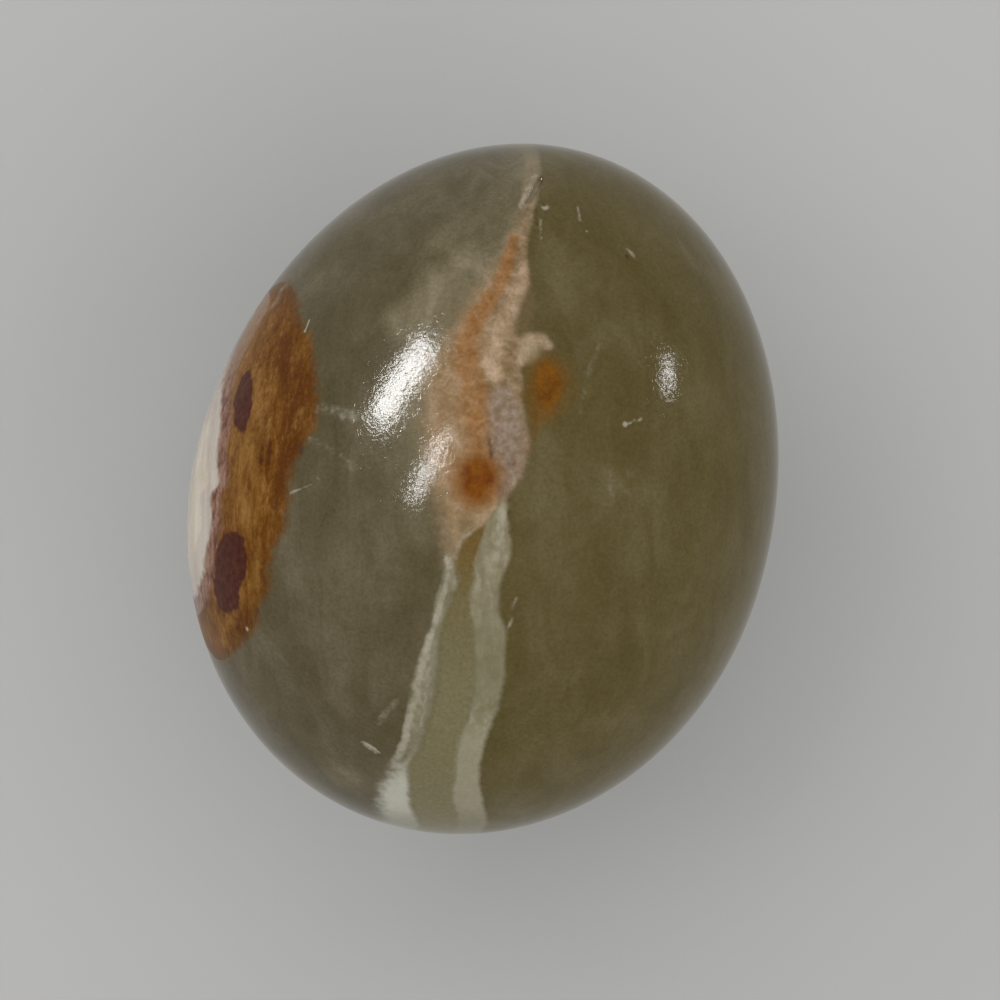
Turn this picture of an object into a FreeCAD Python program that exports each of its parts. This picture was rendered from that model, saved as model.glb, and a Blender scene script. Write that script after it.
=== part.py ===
import FreeCAD, Part
import math
import os
from FreeCAD import Vector

# A polished egg, turned from one block of banded green onyx marble and lying on its side.
# The block's own layers are the pieces: each bed, vein and inclusion is a solid that meets
# its neighbours face to face all the way through the egg.
#
# Lengths are in millimetres and angles in degrees. +Z is up and +Y runs along the egg towards
# its pointed end. The origin is on the surface that the egg lies on, under its middle.

# The egg: two half ellipses of revolution that meet at the widest section
egg_length = 64.0
egg_diameter = 53.0
blunt_reach = 30.1  # from the widest section to the blunt end

# The bedding of the block. Layers run at a slant to the egg, and each set leans on its own
bedding_angle = 17.25  # from the egg's long axis to the run of the layers, seen from above
vein_dip_angle = 6.0
rust_dip_angle = 21.7
pale_dip_angle = 10.9

# How far the cutting tools run past the egg on each side
overrun = 6.0

# Walls between the layers, at the height of the egg's middle. Each point is its place along
# the bedding and across it from the middle of the widest section, as shares of how far the
# egg reaches that way
vein_right_shares = (
    (1.130, 0.196), (0.932, 0.155), (0.756, 0.104), (0.631, 0.071), (0.485, 0.040),
    (0.297, 0.034), (0.179, 0.060), (0.076, 0.019), (0.016, -0.013), (-0.085, -0.007),
    (-0.225, -0.034), (-0.392, -0.013), (-0.558, -0.026), (-0.671, -0.062), (-0.770, -0.064),
    (-0.931, -0.015), (-1.142, -0.015),
)
vein_left_shares = (
    (1.130, 0.137), (0.957, 0.108), (0.796, 0.065), (0.694, 0.044), (0.567, -0.005),
    (0.460, -0.052), (0.327, -0.070), (0.208, -0.072), (0.108, -0.058), (0.020, -0.036),
    (-0.044, -0.078), (-0.147, -0.117), (-0.233, -0.123), (-0.339, -0.111), (-0.478, -0.105),
    (-0.594, -0.117), (-0.768, -0.145), (-0.929, -0.111), (-1.142, -0.098),
)
stain_left_shares = (
    (1.130, 0.235), (0.796, 0.099), (0.694, 0.023), (0.602, -0.032), (0.512, -0.123),
    (0.421, -0.198), (0.327, -0.261), (0.220, -0.267), (0.097, -0.252), (-0.031, -0.222),
    (-0.120, -0.200), (-0.218, -0.220), (-0.351, -0.254), (-0.495, -0.293), (-0.628, -0.315),
    (-0.764, -0.378), (-0.840, -0.415), (-0.940, -0.420), (-1.142, -0.400),
)
lens_left_shares = (
    (0.016, 0.060), (-0.016, -0.038), (-0.044, -0.084), (-0.085, -0.129), (-0.130, -0.165),
    (-0.190, -0.175), (-0.266, -0.188), (-0.339, -0.214), (-0.450, -0.218), (-0.566, -0.232),
    (-0.678, -0.259), (-0.787, -0.287), (-0.878, -0.267), (-0.961, -0.224), (-1.142, -0.196),
)
rust_wall_shares = (
    (1.130, -0.700), (0.604, -0.775), (0.491, -0.807), (0.373, -0.805), (0.224, -0.826),
    (0.145, -0.872), (0.045, -0.909), (-0.066, -0.925), (-0.169, -0.951), (-0.397, -0.980),
    (-1.142, -1.085),
)
white_wall_shares = (
    (1.130, -0.795), (0.535, -0.882), (0.352, -0.903), (0.206, -0.931), (0.112, -0.943),
    (0.033, -0.965), (-0.040, -0.963), (-0.147, -0.982), (-0.257, -0.994), (-0.476, -1.026),
    (-1.142, -1.111),
)

# Thicknesses of the two thin beds on either side of the white wall, as shares of how far the
# egg reaches to the left
rose_thickness_share = 0.026
white_thickness_share = 0.028

# Where the pink seam narrows and turns into the white vein, and where the amber stain ends on
# the left vein, as the same kind of share along the bedding
seam_foot_share = 0.020
stain_foot_share = -0.120

# Inclusions: places as the same kind of shares, and sizes across and along the bedding
amber_spot_shares = (0.300, 0.211)
amber_spot_size = (3.2, 4.8)
amber_core_shares = (0.064, -0.020)
amber_core_size = (3.9, 4.4)
cream_nodule_shares = (0.400, 0.157)
cream_nodule_size = (1.8, 2.4)
upper_iron_shares = (0.287, -0.770)
upper_iron_size = (2.2, 5.6)
lower_iron_shares = (-0.197, -0.811)
lower_iron_size = (3.6, 7.0)

# Open flaws in the polish, a fissure along the top of the seam and a chip by the left vein:
# their places as shares, as above, and their width, length along the bedding and depth
fissure_shares = (0.819, 0.155)
fissure_size = (0.5, 3.6, 0.5)
chip_shares = (-0.693, -0.336)
chip_size = (0.7, 1.1, 0.2)

egg_radius = egg_diameter / 2
pointed_reach = egg_length - blunt_reach
widest_y = blunt_reach - egg_length / 2
block_reach = egg_length / 2 + overrun


def reach(way):
    """How far the egg reaches from the middle of its widest section in a level direction."""
    half_length = pointed_reach if way.y > 0 else blunt_reach
    return math.hypot(egg_radius * way.x, half_length * way.y)


bedding_turn = math.radians(bedding_angle)
across_bedding = Vector(math.cos(bedding_turn), math.sin(bedding_turn), 0)
along_bedding = Vector(-across_bedding.y, across_bedding.x, 0)
right_reach = reach(across_bedding)
left_reach = reach(-across_bedding)
head_reach = reach(along_bedding)
foot_reach = reach(-along_bedding)
widest_middle = Vector(widest_y * across_bedding.y, widest_y * along_bedding.y, 0)


def in_bedding(place_shares):
    """A level place in the bedding's directions, from its shares along and across."""
    along_share, across_share = place_shares
    along = along_share * (head_reach if along_share > 0 else foot_reach)
    across = across_share * (right_reach if across_share > 0 else left_reach)
    return widest_middle + Vector(across, along, 0)


def half_profile(half_length, side):
    """A quarter ellipse from the widest section to one end of the egg, side 1 or -1."""
    end = Vector(0, side * half_length, 0)
    flank = Vector(egg_radius, 0, 0)
    longer, shorter = (end, flank) if half_length > egg_radius else (flank, end)
    return Part.Ellipse(longer, shorter, Vector(0, 0, 0)).toShape(0, math.pi / 2)


def egg_blank():
    """The whole egg, centred on its middle, its long axis on Y."""
    pointed = half_profile(pointed_reach, 1)
    blunt = half_profile(blunt_reach, -1)
    spine = Part.makeLine(Vector(0, -blunt_reach, 0), Vector(0, pointed_reach, 0))
    profile = Part.Face(Part.Wire(Part.__sortEdges__([pointed, blunt, spine])))
    solid = profile.revolve(Vector(0, 0, 0), Vector(0, 1, 0), 360)
    solid.translate(Vector(0, widest_y, 0))
    return solid


def to_egg(shape):
    """Turns a shape from the bedding's directions to the egg's."""
    turned = shape.copy()
    turned.rotate(Vector(0, 0, 0), Vector(0, 0, 1), bedding_angle)
    return turned


def through(points):
    """Round stretches through the points, three at a time, each ending where the next begins."""
    return [
        Part.Arc(points[i], points[i + 1], points[i + 2]).toShape()
        for i in range(0, len(points) - 2, 2)
    ]


def beside(wall_shares, dip, side, shift=0):
    """Everything on one side of a wavy wall: side is 1 for the right and -1 for the left."""
    square_to_wall = math.cos(math.radians(dip))
    points = []
    for place_shares in wall_shares:
        place = in_bedding(place_shares)
        points.append(Vector(place.x * square_to_wall + shift, place.y, -block_reach))
    far = side * block_reach * 2
    first_corner = Vector(far, points[0].y, -block_reach)
    last_corner = Vector(far, points[-1].y, -block_reach)
    outline = Part.Wire(through(points) + [
        Part.makeLine(points[-1], last_corner),
        Part.makeLine(last_corner, first_corner),
        Part.makeLine(first_corner, points[0]),
    ])
    block = Part.Face(outline).extrude(Vector(0, 0, 2 * block_reach))
    block.rotate(Vector(0, 0, 0), Vector(0, 1, 0), dip)
    return to_egg(block)


def above(foot_share):
    """Everything further along the bedding than a flat cut square to it."""
    foot = in_bedding((foot_share, 0))
    low = Vector(-block_reach, foot.y, -block_reach)
    block = Part.makeBox(2 * block_reach, 2 * block_reach, 2 * block_reach, low)
    return to_egg(block)


def skin_point(place_shares):
    """The point of the egg's upper surface at a place given in shares along and across."""
    turn = FreeCAD.Rotation(Vector(0, 0, 1), bedding_angle)
    plan = turn.multVec(in_bedding(place_shares))
    half_length = pointed_reach if plan.y > widest_y else blunt_reach
    section = egg_radius * math.sqrt(1 - ((plan.y - widest_y) / half_length) ** 2)
    return Vector(plan.x, plan.y, math.sqrt(section ** 2 - plan.x ** 2))


def skin_normal(place):
    """The outward direction of the egg's surface at a point of it."""
    half_length = pointed_reach if place.y > widest_y else blunt_reach
    along_slope = (place.y - widest_y) / half_length ** 2
    slope = Vector(place.x / egg_radius ** 2, along_slope, place.z / egg_radius ** 2)
    return slope.normalize()


def lens(across, along):
    """A lens on edge along the bedding, where two balls overlap."""
    ball_radius = (across ** 2 + along ** 2) / (4 * across)
    offset = ball_radius - across / 2
    left_ball = Part.makeSphere(ball_radius, Vector(offset, 0, 0))
    right_ball = Part.makeSphere(ball_radius, Vector(-offset, 0, 0))
    return to_egg(left_ball.common(right_ball))


def pod(place_shares, size):
    """An inclusion, centred in the skin of the egg."""
    across, along = size
    body = lens(across, along)
    body.translate(skin_point(place_shares))
    return body


def flaw(place_shares, size):
    """The hollow of an open flaw: the foot of a larger lens that stands out of the skin."""
    width, length, depth = size
    rim = (length ** 2 / 4 + depth ** 2) / (2 * depth)
    body = lens(width * rim / length * 2, 2 * rim)
    place = skin_point(place_shares)
    outward = skin_normal(place)
    body.translate(place + outward * (rim - depth))
    return body


def split(shape, tool):
    """The part of a shape inside a tool, and the part outside it."""
    return shape.common(tool), shape.cut(tool)


def flawed_egg():
    """The egg with its open fissure and its chip."""
    fissure = flaw(fissure_shares, fissure_size)
    chip = flaw(chip_shares, chip_size)
    return egg_blank().cut(fissure).cut(chip)


def right_stone(block):
    """The olive body with the amber spot and the cream nodule beside the seam."""
    cream_nodule, olive_stone = split(block, pod(cream_nodule_shares, cream_nodule_size))
    amber_spot, olive_stone = split(olive_stone, pod(amber_spot_shares, amber_spot_size))
    return {
        "olive_stone": olive_stone,
        "amber_spot": amber_spot,
        "cream_nodule": cream_nodule,
    }


def calcite_sheet(sheet):
    """The pink seam towards the pointed end, and the white vein that it turns into."""
    pink_seam, right_vein = split(sheet, above(seam_foot_share))
    return {"pink_seam": pink_seam, "right_vein": right_vein}


def middle_beds(block):
    """The green lens between the veins, the left vein and the amber stain above it."""
    green_lens, rest = split(block, beside(lens_left_shares, vein_dip_angle, 1))
    stained, left_body = split(rest, beside(stain_left_shares, vein_dip_angle, 1))
    amber_patch, left_vein = split(stained, above(stain_foot_share))
    amber_core, amber_patch = split(amber_patch, pod(amber_core_shares, amber_core_size))
    pieces = {
        "green_lens": green_lens,
        "left_vein": left_vein,
        "amber_patch": amber_patch,
        "amber_core": amber_core,
    }
    return pieces, left_body


def cap_beds(block):
    """The grey-green body and the rust, rose, white and cream beds along its left flank."""
    cap, grey_stone = split(block, beside(rust_wall_shares, rust_dip_angle, -1))
    rose_thickness = rose_thickness_share * left_reach
    white_thickness = white_thickness_share * left_reach
    rose_wall = beside(white_wall_shares, pale_dip_angle, -1, rose_thickness)
    white_wall = beside(white_wall_shares, pale_dip_angle, -1)
    cream_wall = beside(white_wall_shares, pale_dip_angle, -1, -white_thickness)
    pale_cap, rust_band = split(cap, rose_wall)
    pale_cap, rose_band = split(pale_cap, white_wall)
    cream_band, white_band = split(pale_cap, cream_wall)
    upper_iron_spot, rust_band = split(rust_band, pod(upper_iron_shares, upper_iron_size))
    lower_iron_spot, rust_band = split(rust_band, pod(lower_iron_shares, lower_iron_size))
    return {
        "grey_stone": grey_stone,
        "rust_band": rust_band,
        "upper_iron_spot": upper_iron_spot,
        "lower_iron_spot": lower_iron_spot,
        "rose_band": rose_band,
        "white_band": white_band,
        "cream_band": cream_band,
    }


def stone_pieces():
    """Every bed, vein and inclusion by name, centred on the egg's middle."""
    egg = flawed_egg()
    right_side, left_side = split(egg, beside(vein_left_shares, vein_dip_angle, 1))
    right_block, sheet = split(right_side, beside(vein_right_shares, vein_dip_angle, 1))
    pieces = right_stone(right_block)
    pieces.update(calcite_sheet(sheet))
    middle, left_body = middle_beds(left_side)
    pieces.update(middle)
    pieces.update(cap_beds(left_body))
    return egg, pieces


def main():
    os.makedirs("parts", exist_ok=True)
    egg, pieces = stone_pieces()
    total = 0
    for name, piece in pieces.items():
        piece.translate(Vector(0, 0, egg_radius))
        piece.exportStep("parts/" + name + ".step")
        total += piece.Volume
        print(name, "solids", len(piece.Solids), "volume", round(piece.Volume, 3), piece.isValid())
    print("egg", round(egg.Volume, 2), "pieces", round(total, 2))


main()
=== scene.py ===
import math

import bmesh
import bpy
import numpy as np
from mathutils import Matrix, Vector
from numpy.linalg import norm


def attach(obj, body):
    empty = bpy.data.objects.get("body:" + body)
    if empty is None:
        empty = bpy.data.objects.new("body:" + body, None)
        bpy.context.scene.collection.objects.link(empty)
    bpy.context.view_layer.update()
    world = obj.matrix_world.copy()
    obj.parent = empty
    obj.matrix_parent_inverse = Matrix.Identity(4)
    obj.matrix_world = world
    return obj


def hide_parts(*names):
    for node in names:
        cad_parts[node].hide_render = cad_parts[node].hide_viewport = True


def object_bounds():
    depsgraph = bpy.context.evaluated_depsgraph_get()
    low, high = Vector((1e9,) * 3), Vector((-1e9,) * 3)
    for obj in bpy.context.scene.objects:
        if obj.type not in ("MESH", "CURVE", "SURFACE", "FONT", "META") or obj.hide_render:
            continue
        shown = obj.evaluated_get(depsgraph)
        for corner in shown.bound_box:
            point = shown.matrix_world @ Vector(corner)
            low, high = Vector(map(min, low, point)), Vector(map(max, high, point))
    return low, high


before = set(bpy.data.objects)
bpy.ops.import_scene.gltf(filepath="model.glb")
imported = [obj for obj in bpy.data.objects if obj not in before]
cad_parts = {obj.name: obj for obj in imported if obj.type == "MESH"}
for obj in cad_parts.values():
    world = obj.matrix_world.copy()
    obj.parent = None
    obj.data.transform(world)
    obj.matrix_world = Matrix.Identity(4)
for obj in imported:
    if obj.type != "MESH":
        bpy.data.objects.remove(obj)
cad_low, cad_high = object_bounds()

# The stone egg of the photograph, dressed. Lengths are in millimetres until a mesh is finished.
# Two sets of axes are used, both about the middle of the egg. The egg's own axes are the
# frame's. The bedding's axes are turned about Z so that V runs along the stone's layers, U
# across them to the right, and these are also the photograph's right and up.
MM = 0.001
BEDDING_TURN = math.radians(17.25)
COS_TURN, SIN_TURN = math.cos(BEDDING_TURN), math.sin(BEDDING_TURN)
HAIR = 1e-6  # keeps places rising, and divisors above zero

# The egg, two half ellipsoids, sized by the CAD frame
EGG_MIDDLE = (cad_low + cad_high) / 2
EGG_LENGTH = (cad_high.y - cad_low.y) / MM
EGG_RADIUS = min(cad_high.x - cad_low.x, cad_high.z - cad_low.z) / 2 / MM
BLUNT_SHARE = 0.4703
BLUNT_REACH = EGG_LENGTH * BLUNT_SHARE
POINTED_REACH = EGG_LENGTH - BLUNT_REACH
WIDEST_Y = BLUNT_REACH - EGG_LENGTH / 2

# The photograph's camera, straight above, in the bedding's axes
IMAGE_SIDE = 1000
FOCAL_PIXELS = 2720.4
CAMERA_PLACE = np.array([1.2, -1.08, 250.0])
SENSOR = 36.0
PIXEL = 0.0913  # millimetres on the egg for one pixel of the photograph

# The layers' drift below the egg's middle: height, length along and down over two pi, and phase
DRIFT_DEPTH = 16.0
DRIFTS = [(1.1, 6.5, math.inf, 0.8), (0.5, 2.9, 5.0, 2.1)]

# Walls between the layers: how far each leans, and the pixels that it passes through
VEIN_LEAN = math.tan(math.radians(6.0))
RUST_LEAN = math.tan(math.radians(21.7))
PALE_LEAN = math.tan(math.radians(10.9))
SHEET_RIGHT = [
    (539, 157), (540, 177), (534, 214), (529, 232), (526, 257), (530, 283), (525, 300),
    (519, 315), (520, 350), (522, 389), (526, 428), (531, 442), (525, 462), (515, 485),
    (508, 498), (508, 526), (511, 544), (508, 562), (502, 577), (499, 593), (499, 612),
    (506, 631), (504, 654), (504, 677), (498, 707), (489, 730), (482, 753), (479, 776),
    (482, 799), (487, 822),
]
SHEET_LEFT = [
    (524, 157), (521, 200), (516, 236), (505, 283), (492, 325), (488, 377), (488, 425),
    (493, 465), (500, 500), (488, 521), (485, 531), (481, 542), (478, 554), (474, 565),
    (474, 577), (471, 593), (470, 602), (473, 631), (475, 661), (473, 695), (467, 719),
    (459, 742), (455, 776), (453, 799), (458, 822),
]
STAIN_LEFT = [
    (541, 152), (529, 200), (514, 236), (495, 268), (468, 305), (445, 340), (427, 377),
    (424, 420), (430, 470), (440, 520), (446, 552), (444, 572), (440, 588), (436, 603),
    (432, 620), (423, 649), (415, 672), (410, 698), (404, 730), (395, 753), (381, 773),
    (370, 790), (370, 806), (372, 822),
]
LENS_LEFT = [
    (530, 508), (486, 523), (463, 539), (455, 556), (457, 570), (458, 582), (452, 600),
    (441, 631), (439, 661), (436, 692), (427, 727), (421, 747), (411, 762), (409, 781),
    (412, 807), (421, 826),
]
RUST_RIGHT = [
    (282, 282), (300, 319), (310, 336), (315, 362), (318, 392), (317, 420), (311, 435),
    (302, 451), (294, 466), (289, 491), (288, 512), (283, 532), (274, 547), (270, 568),
    (270, 580), (266, 594), (259, 607), (256, 625), (249, 635), (242, 645), (230, 655),
    (216, 659),
]
WHITE_RIGHT = [
    (253, 311), (237, 336), (228, 357), (224, 377), (221, 397), (220, 430), (218, 445),
    (218, 466), (219, 483), (211, 495), (211, 512), (212, 524), (208, 542), (204, 558),
    (204, 570), (199, 586), (197, 594),
]
ROSE_THICKNESS = 0.7
WHITE_THICKNESS = 0.75
SEAM_FOOT = 501  # the row of pixels at which the pink seam turns into the white vein
STAIN_FOOT = 549

# Inclusions: outlines in pixels, and how deep each goes into the stone
INCLUSIONS = {
    "amber_spot": [
        (536, 374), (538, 365), (546, 362), (556, 368), (563, 378), (561, 392), (555, 403),
        (549, 412), (541, 408), (537, 396), (534, 384),
    ],
    "amber_core": [
        (463, 466), (470, 460), (480, 459), (490, 464), (495, 473), (493, 486), (486, 496),
        (476, 500), (466, 494), (461, 482),
    ],
    "cream_nodule": [
        (524, 344), (530, 338), (537, 343), (540, 352), (537, 361), (530, 364), (524, 357),
    ],
    "upper_iron": [
        (250, 368), (252, 380), (252, 402), (249, 419), (244, 430), (238, 431), (234, 420),
        (233, 405), (237, 388), (243, 376),
    ],
    "lower_iron": [
        (224, 534), (234, 532), (243, 538), (246, 553), (246, 571), (242, 585), (238, 594),
        (239, 606), (233, 611), (223, 612), (217, 600), (213, 583), (213, 565), (216, 550),
    ],
}
INCLUSION_DEPTH = 2.2
INCLUSION_RISE = 1.0
INNER_SHARE = 0.55  # an inclusion's foot as a share of its outline
FAR_OFF = 9.0  # further than any mark, flaw or inclusion reaches
OUTLINE_REACH = 6.0  # the most that a distance from an inclusion's outline counts

# Pits, chips and grooves in the polish: (x, y, radius in pixels) along each, and depth
FLAWS = [
    ([(541, 178, 2.6), (537, 186, 3.2), (532, 194, 3.4), (527, 202, 2.8)], 0.26),
    ([(529, 181, 1.6), (525, 190, 1.9)], 0.08),
    ([(524, 208, 2.4), (521, 216, 2.8)], 0.10),
    ([(545, 204, 2.4), (545, 209, 2.8)], 0.14),
    ([(578, 207, 1.9), (579, 214, 1.6), (580, 220, 2.2)], 0.09),
    ([(587, 231, 2.0)], 0.08),
    ([(627, 256, 3.2)], 0.11),
    ([(699, 321, 1.8)], 0.06),
    ([(625, 424, 2.4)], 0.10),
    ([(362, 743, 1.8), (368, 746, 2.6), (374, 750, 3.4), (377, 753, 2.4)], 0.16),
    ([(247, 629, 2.0)], 0.07),
    ([(290, 493, 1.6), (300, 489, 1.8), (311, 485, 1.4)], 0.05),
    ([(305, 331, 1.4), (309, 320, 1.5)], 0.05),
]
RAGGED_SHARE = 0.18  # how far a flaw's edge strays, as a share of its half width
RAGGED_WAVES = (9.0, 5.0, 11.0)  # across and along, and along alone
FLAW_POWER = 0.8  # under 1 makes a flaw's sides steeper than its floor

# Colour marks: (x, y, half width in pixels) along each, and how strong. Most are in the stone;
# some cloud and cream marks are painted glow and painted light
MARK_REACH = 1.5  # where a mark has faded out, in half widths
DARK_MARKS = [
    ([(541, 180, 1.4), (537, 190, 1.6), (531, 203, 1.4)], 0.3),
    ([(536, 206, 1.6), (535, 214, 2.2), (537, 224, 1.6)], 0.5),
    ([(528, 208, 2.0), (520, 219, 2.2)], 0.35),
    ([(508, 241, 3.0), (508, 250, 3.0)], 0.2),
    ([(502, 277, 3.0), (502, 288, 2.6)], 0.25),
    ([(496, 384, 2.6), (505, 383, 3.6)], 0.6),
    ([(489, 440, 1.8), (490, 449, 2.8), (492, 457, 1.8)], 0.7),
    ([(508, 494, 1.6), (509, 515, 1.6), (510, 537, 1.4)], 0.4),
    ([(504, 492, 7.0)], 0.45),
    ([(509, 461, 7.0)], 0.42),
    ([(276, 503, 2.4), (277, 512, 3.0), (279, 520, 2.4)], 0.5),
    ([(300, 436, 2.6), (301, 445, 3.0), (302, 454, 2.4)], 0.5),
    ([(229, 372, 1.6), (232, 395, 1.8), (229, 425, 1.6)], 0.4),
    ([(262, 395, 5.0), (266, 440, 5.0)], 0.25),
    ([(228, 455, 1.8), (226, 490, 1.8), (221, 520, 1.6)], 0.4),
    ([(627, 256, 2.6)], 0.7),
    ([(516, 299, 2.0), (524, 305, 2.4)], 0.4),
]
DEEP_MARKS = [
    ([(282, 345, 12.0), (297, 392, 17.0), (292, 432, 13.0), (276, 505, 7.0)], 1.0),
]
OLIVE_MARKS = [
    ([(527, 288, 5.0), (525, 306, 9.0), (521, 330, 8.0)], 0.9),
    ([(476, 508, 7.0)], 0.4),
    ([(466, 524, 8.0)], 0.7),
]
UMBER_MARKS = [
    ([(536, 378, 7.0), (533, 400, 8.0), (533, 430, 6.0), (527, 450, 4.0)], 0.75),
]
PALE_MARKS = [
    ([(318, 408, 5.0), (340, 412, 7.0), (366, 418, 6.0)], 0.3),
    ([(310, 440, 4.0), (335, 452, 5.0), (352, 468, 4.0)], 0.2),
    ([(618, 481, 18.0)], 0.16),
    ([(378, 722, 4.0), (396, 702, 4.0)], 0.25),
    ([(540, 219, 1.3), (541, 230, 1.4), (540, 241, 1.1)], 0.4),
    ([(545, 207, 3.6)], 0.9),
    ([(578, 207, 1.5), (579, 213, 1.0), (580, 220, 2.0)], 0.6),
    ([(587, 231, 1.8)], 0.7),
    ([(634, 256, 2.2), (627, 249, 2.0)], 0.5),
    ([(625, 424, 2.4)], 0.8),
    ([(627, 424, 1.2), (641, 419, 1.0)], 0.5),
    ([(290, 493, 1.4), (300, 489, 1.0)], 0.6),
    ([(300, 489, 1.0), (312, 484, 0.8)], 0.4),
    ([(318, 478, 1.6)], 0.7),
    ([(331, 472, 1.4)], 0.6),
    ([(305, 331, 1.3), (309, 320, 1.3)], 0.8),
    ([(247, 629, 2.4)], 0.9),
    ([(363, 743, 2.4), (370, 747, 3.4), (377, 752, 2.8)], 0.95),
    ([(484, 525, 1.6), (474, 530, 1.8), (465, 537, 2.2), (458, 546, 2.6), (455, 558, 2.4)], 0.35),
    ([(447, 558, 2.2), (449, 568, 2.6)], 0.7),
    ([(599, 345, 3.0), (589, 371, 4.0), (579, 415, 3.0)], 0.14),
    ([(449, 574, 2.0), (444, 594, 2.4), (437, 618, 3.0), (428, 645, 3.4), (421, 668, 3.6),
      (417, 692, 3.6), (410, 718, 3.6), (403, 744, 4.0), (396, 764, 5.0)], 0.55),
    ([(430, 655, 1.4), (426, 690, 1.6), (421, 725, 1.6)], 0.4),
    ([(398, 764, 5.0), (392, 784, 9.0)], 0.4),
    ([(283, 289, 8.0), (276, 300, 9.0)], 0.3),
    ([(535, 175, 3.0), (527, 192, 3.4), (521, 207, 3.0)], 0.45),
    ([(503, 508, 3.4), (500, 530, 4.4), (497, 556, 3.6)], 0.4),
    ([(516, 598, 1.2), (512, 614, 1.0), (508, 628, 1.2)], 0.5),
]
# Pale clouds in the stone mixed with painted light: painted glow round the first and second
# highlights, and painted light on the top
CLOUD_AND_GLOW_MARKS = [
    # pale cloud in the stone, with painted glow above the first highlight
    ([(468, 262, 26.0), (440, 298, 30.0), (408, 318, 22.0)], 0.98),
    ([(415, 250, 20.0), (370, 300, 22.0), (345, 345, 18.0)], 0.12),
    # painted glow left of the first highlight
    ([(352, 385, 20.0), (372, 440, 22.0)], 0.25),
    # partly pale stone, partly painted light: lighter near the top of the seam
    ([(502, 190, 13.0), (474, 215, 16.0), (440, 245, 18.0)], 0.5),
    ([(352, 560, 9.0), (342, 640, 9.0), (346, 740, 9.0)], 0.14),
    ([(300, 560, 8.0), (292, 640, 8.0)], 0.1),
    # partly painted light: lighter on the top
    ([(560, 300, 22.0), (556, 250, 16.0)], 0.3),
    # painted glow beside the second highlight
    ([(400, 470, 20.0), (414, 530, 22.0)], 0.42),
    ([(345, 778, 24.0)], 0.55),
]
AMBER_MARKS = [
    ([(514, 238, 5.0), (507, 262, 6.0), (501, 284, 7.0), (488, 302, 9.0), (476, 317, 9.0),
      (469, 332, 10.0), (465, 351, 12.0), (469, 370, 13.0)], 0.8),
    ([(474, 385, 15.0), (481, 418, 18.0), (480, 446, 15.0)], 0.7),
    ([(482, 421, 11.0)], 1.0),
    ([(457, 478, 13.0), (474, 497, 14.0)], 0.38),
    ([(552, 372, 10.0), (546, 405, 7.0), (540, 424, 4.0)], 0.5),
    ([(240, 350, 8.0), (236, 438, 8.0), (246, 442, 9.0), (238, 470, 9.0), (243, 515, 9.0)], 0.75),
    ([(258, 325, 11.0), (250, 350, 8.0)], 0.5),
    ([(250, 450, 9.0), (256, 480, 9.0), (252, 520, 9.0)], 0.75),
    ([(258, 545, 7.0), (256, 600, 7.0)], 0.6),
    ([(250, 590, 8.0), (222, 640, 9.0)], 0.5),
]
# Cream lumps in the stone, and one painted highlight glow
CREAM_AND_GLOW_MARKS = [
    ([(489, 364, 6.0), (494, 373, 8.0)], 1.0),
    ([(521, 362, 5.0), (525, 346, 8.0), (531, 340, 8.0), (541, 340, 7.0), (547, 345, 6.0)], 0.62),
    ([(500, 326, 11.0), (494, 350, 10.0)], 0.6),
    ([(524, 262, 4.0), (522, 285, 6.0), (510, 312, 8.0)], 0.6),
    # painted highlight: a soft cream glow along the second highlight
    ([(430, 425, 9.0), (437, 445, 10.0), (438, 470, 9.0)], 0.25),
]
PINK_MARKS = [
    ([(502, 396, 12.0), (508, 434, 20.0), (506, 470, 15.0), (502, 490, 8.0)], 0.9),
    ([(237, 322, 3.0), (222, 350, 3.0), (212, 378, 2.6)], 0.5),
]
MARKS = {
    "dark": DARK_MARKS,
    "deep": DEEP_MARKS,
    "olive": OLIVE_MARKS,
    "umber": UMBER_MARKS,
    "pale": PALE_MARKS,
    "cloud": CLOUD_AND_GLOW_MARKS,
    "amber": AMBER_MARKS,
    "cream": CREAM_AND_GLOW_MARKS,
    "pink": PINK_MARKS,
}

# The stone's grain: noise, whose scale is in features to a millimetre
GRAINS = {
    "ragged": dict(scale=1.1, detail=4.0),
    "clouds": dict(scale=0.11, detail=5.0, rough=0.6, bend=0.6),
    "wisps": dict(scale=0.35, stretch=(1, 0.32, 0.8), detail=5.0, rough=0.65, bend=0.8, shift=3.0),
    "streaks": dict(scale=1.15, stretch=(1, 0.2, 0.7), detail=6.0, rough=0.72, bend=0.4),
    "patches": dict(scale=0.35, stretch=(1, 0.5, 1), detail=4.0, shift=7.0),
    "crumbs": dict(scale=2.4, stretch=(1, 0.6, 1), detail=4.0, rough=0.7, shift=12.0),
    "iron": dict(scale=1.6, detail=4.0, shift=5.0),
    "rose": dict(scale=1.3, stretch=(1, 0.45, 1), detail=5.0, rough=0.7, shift=9.0),
    "bands": dict(scale=1.0, stretch=(1.6, 0.12, 0.4), bend=0.5, shift=2.0),
    "mottle": dict(scale=0.8, detail=5.0, rough=0.6, bend=0.4, shift=4.0),
    "threads": dict(scale=1.3, stretch=(1, 0.16, 1), detail=4.0, bend=0.6, shift=6.0),
    "granules": dict(scale=1.5, detail=4.0, shift=8.0),
    "core": dict(scale=1.2),
    "spot": dict(scale=1.0),
    "specks": dict(scale=3.2, detail=4.0, rough=0.7),
    "peel": dict(scale=2.2, rough=0.6, shift=1.0),
    "crease_bends": dict(scale=1.5, detail=2.0, shift=11.0),
    "crease_gaps": dict(scale=1.1, shift=13.0),
}
SHIFT_WAY = (1.0, 0.7, 1.3)
MIX_FIRST, MIX_SECOND, MIX_RESULT = 6, 7, 2  # the Mix node's sockets for colours

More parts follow.
